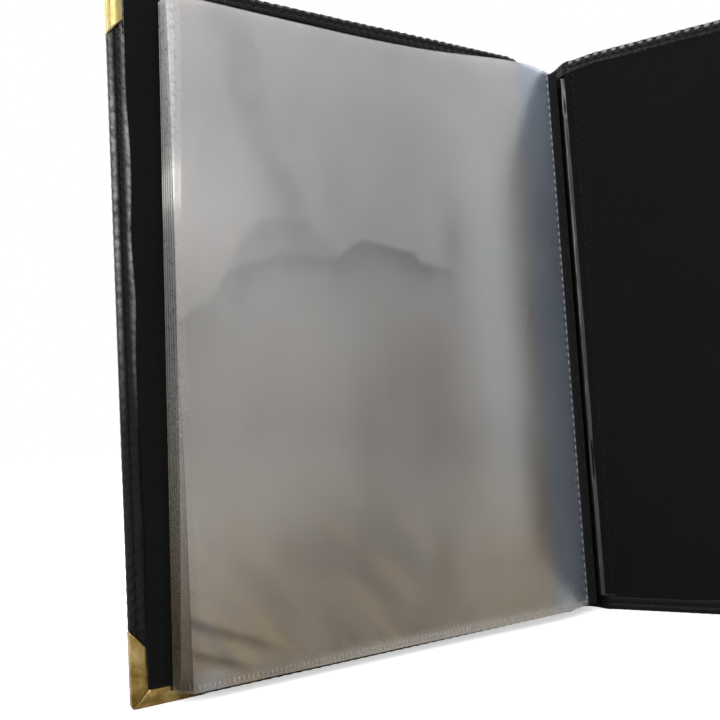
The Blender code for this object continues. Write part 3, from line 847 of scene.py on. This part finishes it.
def haze_and_reflection_tones(number, u, z):
    """Colours of the haze and its painted reflections: a dark cloudy band above the middle, a pale streak,
    a blue band by the gutter and browner patches with dark arcs below."""
    u, z = u / MM, z / MM
    clouds = cloud2(u, z, 90, number + 40)
    puffs = cloud2(u, z, 26, number + 60)
    wisps = cloud2(u, z, 9, number + 100)
    level = z + 9 * clouds
    tone = np.stack([np.interp(level, HAZE_AND_REFLECTION_HEIGHTS, channel) for channel in HAZE_AND_REFLECTION_TONES.T], -1)

    def blend_towards(amount, colour):
        return tone + np.clip(amount, 0.0, 1.0)[..., None] * (np.array(colour) - tone)

    def dim(amount):
        return tone * (1 - np.clip(amount, -1.0, 1.0))[..., None]

    # Painted reflection: paler clouds in the upper part, lighter towards the upper fore-edge, darker across
    # the middle and the lower middle.
    upper = smooth(0.0, 0.6, clouds + 0.4 * puffs) * smooth(120, 200, z)
    tone = blend_towards(0.3 * upper, (0.25, 0.258, 0.258))
    tone = dim(-0.3 * smooth(172, 214, u) * hump(z, 205, 55, 60))
    tone = dim(0.15 * hump(u, 120, 80, 75) * smooth(70, 130, z))
    tone = dim(0.3 * hump(u, 140, 75, 85) * hump(z, 58, 38, 50))
    # Painted reflection: a dark cloudy band above the middle, with a thinner dark veil, a trail and a
    # darker flank above it.
    below = np.interp(u, *DARK_BAND_EDGE.T) - z + 3 * puffs + 2.5 * wisps
    dark_band = smooth(-1.2, 2.0, below) * np.exp(-np.maximum(below, 0.0) / 13)
    tone = dim(dark_band * smooth(79, 90, u) * (0.2 + 0.3 * hump(u, 108, 24, 70)))
    below = np.interp(u, *VEIL_EDGE.T) - z + 5 * puffs + 4 * wisps
    veil = smooth(-3, 3, below) * smooth(28, 6, below)
    trail = hump(u - np.interp(z, *TRAIL.T) + 7 * puffs + 3 * wisps, 0.0, 15, 13)
    veil = 0.16 * veil * smooth(146, 157, u) * smooth(215, 200, u)
    veil = veil + 0.14 * trail * smooth(194, 210, z)
    flank = hump(u + 4 * puffs, 83, 17, 15) * hump(z, 200, 26, 34)
    tone = tone * (1 - (veil + 0.2 * flank)[..., None] * np.array([1.0, 0.92, 0.86]))
    shade = hump(u + 10 * clouds, 108, 42, 70) * hump(z, 120, 110, 75)
    tone = blend_towards(0.62 * shade, (0.155, 0.142, 0.135))
    # Painted reflection: a pale streak across the lower half, and a bluish band by the gutter.
    streak = hump(u + 5 * clouds, 58, 26, 30) * smooth(30, 130, z)
    tone = blend_towards(0.7 * streak * smooth(304, 240, z), (0.345, 0.36, 0.37))
    navy = np.array([0.23, 0.26, 0.305]) * (1 + 0.3 * smooth(210, 280, z))[..., None]
    tone = tone + smooth(40, 24, u)[..., None] * (navy - tone)

    # Painted reflection: browner in cloudy patches towards the foot, with dark arcs in the lower fore-edge
    # corner.
    low = smooth(85, 15, z) * smooth(24, 45, u)
    foot_clouds = cloud2(0.2 * (u + z), z - 1.1 * u + 2 * puffs, 13, number + 80)
    tone = blend_towards(0.6 * low * smooth(0.0, 0.45, foot_clouds) * smooth(70, 130, u), (0.30, 0.23, 0.145))
    tone = dim(0.14 * low * smooth(-0.05, -0.5, foot_clouds) * smooth(100, 150, u))
    for base, slope, width, end, strength in ARCS:
        drop = z - base + slope * (ARC_START - u) + 0.5 * wisps
        tone = dim(strength * hump(drop, 0.0, width, 0.6 * width) * smooth(end - 12, end + 8, u))
    # Painted reflection: lighter towards the lower right, with paler patches at the very foot.
    tone = dim(-0.38 * smooth(120, 60, u) * smooth(60, 20, z) * smooth(24, 40, u))
    tone = blend_towards(0.6 * hump(u, 224, 16, 12) * smooth(15, 10, z), (0.30, 0.30, 0.315))
    tone = blend_towards(0.6 * smooth(11, 7, z) * smooth(215, 130, u), (0.43, 0.41, 0.375))
    tone = blend_towards(0.75 * hump(u, 22, 13, 14) * smooth(24, 9, z), (0.40, 0.41, 0.42))
    return np.clip(HAZE_AND_REFLECTION_GAIN * tone, 0.0, 0.95)


def film_sleeve(number):
    """Two films of one sleeve with their welds, whose ribs run along the foot and the binding edge."""
    root = sleeve_frame(number)[2]
    fine = 2 if number == SLEEVES else 1  # the uppermost sleeve shows its haze and painted reflections in full
    across = np.concatenate([
        np.linspace(0.0, 0.24, 33 * fine + 1), np.linspace(0.24, 1.0, 44 * fine + 1)[1:],
    ])[None, :]
    up = np.linspace(0.0, 1.0, 89 * fine + 1)[:, None]
    u, z = sleeve_outline(number, across, up, root)
    haze_and_reflection = np.tile(haze_and_reflection_tones(number, u, z).reshape(-1, 3), (2, 1))
    colours = np.concatenate([haze_and_reflection, np.ones((len(haze_and_reflection), 1))], 1)
    for label, lift in (("front", -FILM_LIFT), ("back", FILM_LIFT)):
        points = sleeve_points(number, u, z, lift)
        piece = sheet_piece(f"sleeve_{number}_{label}_sheet", points, FILM, "film")
        layer = piece.data.color_attributes.new("haze_and_reflection", "FLOAT_COLOR", "POINT")
        layer.data.foreach_set("color", colours.ravel())
        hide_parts(f"sleeve_{number}_{label}_film")
        seat_sleeve(piece, number)
    length, height = SLEEVE_REACH - root, SLEEVE_TOP - SLEEVE_BASE
    strands = []
    rib = (2.2 * MM + np.linspace(-0.9, 0.9, 4) * MM) / height
    for way in np.arange(2 * MM, length - 1 * MM, RIB_PITCH):
        spots = sleeve_outline(number, way / length, rib, root)
        strands.append(sleeve_points(number, *spots, 0.3 * MM))
    for way in np.arange(3 * MM, height - 4 * MM, GUTTER_STITCH_PITCH):
        dash = (way + np.linspace(0.0, 2.4, 5) * MM) / height
        spots = sleeve_outline(number, 1.2 * MM / length, dash, root)
        strands.append(sleeve_points(number, *spots, 0.24 * MM))
    ribs = tube_strands(f"sleeve_{number}_weld_ribs", strands, RIB_RADIUS, 5, "ribs")
    edge_u, edge_z = sleeve_outline(number, 1.0, up, root)
    overlap = 3.0 * MM
    outer = sleeve_margin(number, up) + 0.15 * MM
    seam_u = edge_u - overlap + np.linspace(0.0, 1.0, 9)[None, :] * (outer + overlap)
    points = sleeve_points(number, seam_u, edge_z)
    seam = sheet_piece(f"sleeve_{number}_fore_weld", points, WELD, "weld")
    for piece in (ribs, seam):
        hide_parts(f"sleeve_{number}_weld")
        seat_sleeve(piece, number)


for number in range(1, SLEEVES + 1):
    film_sleeve(number)


# Binding

def hermite(start, end, start_pull, end_pull, count):
    t = np.linspace(0.0, 1.0, count)[:, None]
    return (
        start * (2 * t**3 - 3 * t**2 + 1) + start_pull * (t**3 - 2 * t**2 + t)
        + end * (3 * t**2 - 2 * t**3) + end_pull * (t**3 - t**2)
    )


def plan_path(depth, back, leave_deg, count):
    """Plan path from the front cover's hinge edge, at a depth, to a spot behind the axis."""
    start = cover_points("front_cover", HINGE_SETBACK, depth, 0.0)[:2]
    end = AXIS[:2] + np.array([0.0, back])
    pull = np.linalg.norm(end - start)
    leave = math.radians(leave_deg)
    start_pull = np.array([math.cos(leave), math.sin(leave)]) * pull
    return hermite(start, end, start_pull, np.array([pull, 0.0]), count)


def path_normals(path):
    along = np.gradient(path, axis=0)
    along /= np.linalg.norm(along, axis=1, keepdims=True)
    return np.stack([-along[:, 1], along[:, 0]], 1)


def halves(points):
    """Splits rows of points at the direction that stays with the binding."""
    x, y, _ = (points[:, 0] - AXIS).T
    cut = np.argmin(np.abs(np.degrees(np.arctan2(y, x)) - SPLIT_DEG))
    return points[: cut + 1], points[cut:]


def soft_halves(name, points, edges, thickness, material, node):
    """A soft strip in two halves, split at the direction that stays with the binding; edges are its rows at
    the covers, and are not used."""
    parts = halves(points)
    for cover, rows, edge in zip(COVERS, parts, edges):
        piece = sheet_piece(f"{name}_{cover.split('_')[0]}", rows, thickness, material)
        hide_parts(node)
        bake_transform(piece)


def through(spots, count):
    """Smooth path through given plan points, evenly stepped."""
    spots = np.asarray(spots)
    padded = np.concatenate([[2 * spots[0] - spots[1]], spots, [2 * spots[-1] - spots[-2]]])
    path = []
    for a, b, c, d in zip(padded, padded[1:], padded[2:], padded[3:]):
        square, cube = 2 * a - 5 * b + 4 * c - d, 3 * b - a - 3 * c + d
        for t in np.linspace(0.0, 1.0, 12, endpoint=False):
            path.append(0.5 * (2 * b + (c - a) * t + square * t**2 + cube * t**3))
    path = np.array(path + [spots[-1]])
    way = np.concatenate([[0.0], np.cumsum(np.linalg.norm(np.diff(path, axis=0), axis=1))])
    even = np.linspace(0.0, way[-1], count)
    return np.stack([np.interp(even, way, path[:, 0]), np.interp(even, way, path[:, 1])], 1)


def mirrored(path):
    """Front half of a plan path, then its mirror image."""
    return np.concatenate([path, path[-2::-1] * np.array([-1.0, 1.0])])


def spine_points():
    """Spine leatherette as rows along the plan path; each row runs from one hem, round the outside, to
    the other."""
    outside = THICKNESS - 0.05 * MM
    tuck = cover_points("front_cover", HINGE_SETBACK + 0.8 * MM, outside, 0.0)[:2]
    path = mirrored(np.concatenate([[tuck], plan_path(outside, back=12.8 * MM, leave_deg=36.0, count=32)]))
    normal = path_normals(path)
    outer = HALF_SECTION[::-1, :2].copy()
    outer[:, 1] = THICKNESS - outer[:, 1]
    hem = np.concatenate([HALF_SECTION[:, :2], EDGE_MIDDLE[:, :2], outer[:12]])
    hem[:, 0] = np.maximum(hem[:, 0], 0.3 * MM)
    hem[:, 1] = np.clip(hem[:, 1], 0.05 * MM, THICKNESS)
    middle = np.linspace(10 * MM, HEIGHT - 16 * MM, 40)
    front_dip, back_dip = HEAD_DIPS.values()
    rows = []
    for index, (spot, out) in enumerate(zip(path, normal)):
        share = index / (len(path) - 1)
        thin = 1.0 - 0.45 * smooth(0.0, 0.25, share) * smooth(1.0, 0.75, share)
        dip = front_dip + (back_dip - front_dip) * smooth(0.45, 1.0, share)
        dip = dip + 0.8 * MM * smooth(0.3, 0.6, share) * smooth(1.0, 0.7, share)
        column = [(*(spot + out * (depth - THICKNESS) * thin), inset) for inset, depth in hem]
        body = [(*spot, z) for z in middle]
        top = [(x, y, HEIGHT - dip - z) for x, y, z in reversed(column)]
        rows.append(column + body + top)
    return np.array(rows)


# Front half of the hinge strip in plan: (u, depth) along the lining and beside the sleeves, then (x, y)
# from the axis, behind the sewn margins
STRIP_SHAPE = np.array([
    (13.6, 0.22), (12.6, 0.20), (11.4, 0.17), (10.0, 0.14), (8.6, 0.08), (7.5, -0.20), (6.4, -0.50),
    (5.2, -0.45), (4.2, 0.05), (3.5, 1.0), (3.1, 2.2),
]) * MM
STRIP_BEHIND = np.array([(-3.2, 7.2), (0.0, 7.5)]) * MM


def strip_points():
    """Slack vinyl strip: lies on both linings, bulges beside the sleeves, passes behind their margins."""
    front = [cover_points("front_cover", u, depth, 0.0)[:2] for u, depth in STRIP_SHAPE]
    path = mirrored(through(front + [AXIS[:2] + spot for spot in STRIP_BEHIND], 44))
    normal = path_normals(path)
    end = 7.8 * MM
    z = np.linspace(end, HEIGHT - end, 100)
    rows = []
    for spot, out in zip(path, normal):
        reach = np.linalg.norm(spot - AXIS[:2])
        slack = math.exp(-((reach - 7.4 * MM) / (1.2 * MM)) ** 2) * smooth(11 * MM, 9 * MM, reach)
        free = smooth(-3 * MM, 3 * MM, spot[0] - AXIS[0])  # the sleeves press its front half flatter
        slack *= 0.5 + 0.5 * free
        wave = (1.2 * wander(z, 34 * MM, 31) + 0.8 * wander(z, 11 * MM, 33)) * MM * slack
        top = z - 4.0 * MM * smooth(HEIGHT - 60 * MM, HEIGHT, z)
        rows.append([(*(spot + out * w), height) for w, height in zip(wave, top)])
    return np.array(rows)


def row_at_cover(points, cover):
    """Row of a strip that lies nearest to a cover's hinge edge."""
    edge = cover_points(cover, HINGE_SETBACK, 0.0, 0.0)[:2]
    return int(np.argmin(np.linalg.norm(points[:, len(points[0]) // 2, :2] - edge, axis=1)))


spine = spine_points()
soft_halves("spine_leather", spine, (1, -2), SPINE_LEATHER, "leatherette", "spine_skin")
strip = strip_points()
strip_edges = [row_at_cover(strip, cover) for cover in COVERS]
soft_halves("hinge_vinyl", strip, strip_edges, VINYL, "vinyl", "hinge_strip")


def taped_margins():
    """Sewn sleeve margins under black tape, with softly rounded long edges."""
    reach = math.asin(BUNDLE_HALF / BUNDLE_RADIUS)
    ease = 1.2 * MM
    outline = []
    for angle in np.linspace(-reach, reach, 15):
        outline.append((BUNDLE_RADIUS * math.cos(angle), BUNDLE_RADIUS * math.sin(angle)))
    back = []
    for angle in np.linspace(0.0, math.pi / 2, 6):
        u, v = -BUNDLE_BACK + ease - ease * math.sin(angle), BUNDLE_HALF - ease + ease * math.cos(angle)
        back.append((u, v))
    outline = np.array(outline + back + [(u, -v) for u, v in reversed(back)])
    z = np.linspace(SLEEVE_BASE, SLEEVE_TOP, 60)
    rows = []
    for height in z:
        ends = smooth(0, 1.0 * MM, min(height - SLEEVE_BASE, SLEEVE_TOP - height))
        shrink = 0.93 + 0.07 * ends - 0.02 * abs(wander(height, 12 * MM, 41))
        rows.append(leaf_points(FRONT_DEG, outline[:, 0] * shrink, outline[:, 1] * shrink, height))
    faces = tube_faces(len(rows), len(outline))
    piece = make_piece("taped_margins", np.array(rows), faces, "tape")
    piece.data.set_sharp_from_angle(angle=FOLD_ANGLE)
    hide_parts("sleeve_margin_bundle")
    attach(piece, "binding")


def margin_stitches():
    """Running stitch on both sides of the taped margins."""
    strands = []
    shares = np.linspace(0.0, 1.0, 7)
    rise = np.sin(math.pi * shares) ** 0.6
    lows = np.arange(SLEEVE_BASE + 6 * MM, SLEEVE_TOP - 12 * MM, MARGIN_STITCH_PITCH)
    for index, low in enumerate(lows):
        side = 1 if index % 2 else -1
        v = side * (BUNDLE_HALF - 0.5 * MM + 0.75 * MM * rise)
        strands.append(leaf_points(FRONT_DEG, 0.0, v, low + MARGIN_STITCH_PITCH * shares))
    piece = tube_strands("margin_stitches", strands, MARGIN_STITCH_RADIUS, 6, "thread")
    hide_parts("binding_thread")
    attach(piece, "binding")


taped_margins()
margin_stitches()


# Stage

def white_world():
    """White for the camera and in reflections; a softer level lights the object."""
    s = Shader("studio", "worlds", "Background", Color=(1.0, 1.0, 1.0))
    rays = s.node("ShaderNodeLightPath").outputs
    seen = s.math("MAXIMUM", rays["Is Camera Ray"], rays["Is Glossy Ray"])
    seen = s.math("MAXIMUM", seen, rays["Is Transmission Ray"])
    return s.finish(Strength=s.remap(seen, 0.0, 1.0, 0.55, 1.0))


def lay_floor():
    size = 6.0
    corners = [(-size, -size, 0), (size, -size, 0), (size, size, 0), (-size, size, 0)]
    floor = make_piece("floor", np.array(corners, float), [(0, 1, 2, 3)], "floor", smooth_shading=False)


def soft_light(name, place, target, size, watts):
    """Rectangular lamp, aimed at a target."""
    data = bpy.data.lights.new(name, "AREA")
    data.shape = "RECTANGLE"
    data.size, data.size_y = size
    data.energy = watts
    lamp = bpy.data.objects.new(name, data)
    lamp.location = place
    lamp.rotation_euler = (Vector(target) - Vector(place)).to_track_quat("-Z", "Y").to_euler()
    bpy.context.collection.objects.link(lamp)


def photo_camera():
    """Camera fitted to the straight cover edges of the photograph."""
    focal_pixels, picture_pixels, sensor = 852.22, 720.0, 36.0
    yaw, pitch, roll = (math.radians(a) for a in (-1.287, 4.344, -3.364))
    forward = Vector((-math.sin(yaw) * math.cos(pitch), math.cos(yaw) * math.cos(pitch), math.sin(pitch)))
    right = Vector((math.cos(yaw), math.sin(yaw), 0.0))
    up = right.cross(forward)
    turned_right = math.cos(roll) * right + math.sin(roll) * up
    turned_up = -math.sin(roll) * right + math.cos(roll) * up
    data = bpy.data.cameras.new("camera")
    data.sensor_fit = "HORIZONTAL"
    data.sensor_width = sensor
    data.lens = focal_pixels / picture_pixels * sensor
    data.clip_start = 0.01
    camera = bpy.data.objects.new("camera", data)
    turn = Matrix((turned_right, turned_up, -forward)).transposed()
    from_axis = Vector((-0.13005, -0.47906, 0.10983))
    camera.matrix_world = Matrix.Translation(Vector(AXIS) + from_axis) @ turn.to_4x4()
    bpy.context.collection.objects.link(camera)
    bpy.context.scene.camera = camera


bpy.context.scene.world = white_world()
lay_floor()
soft_light("key", (0.45, -1.35, 1.5), (0.0, 0.0, 0.17), (1.0, 1.0), 15.0)
soft_light("fill", (-1.05, -1.0, 0.75), (0.0, 0.0, 0.17), (0.9, 0.9), 10.0)
soft_light("top", (0.2, 0.7, 1.4), (0.0, 0.0, 0.2), (0.9, 0.6), 13.0)
soft_light("behind left", (-1.6, 1.1, 1.1), (-0.1, 0.0, 0.17), (1.9, 1.9), 15.0)
soft_light("behind right", (1.6, 1.1, 1.1), (0.1, 0.0, 0.17), (1.9, 1.9), 15.0)
photo_camera()
bpy.context.scene.view_settings.view_transform = "Standard"
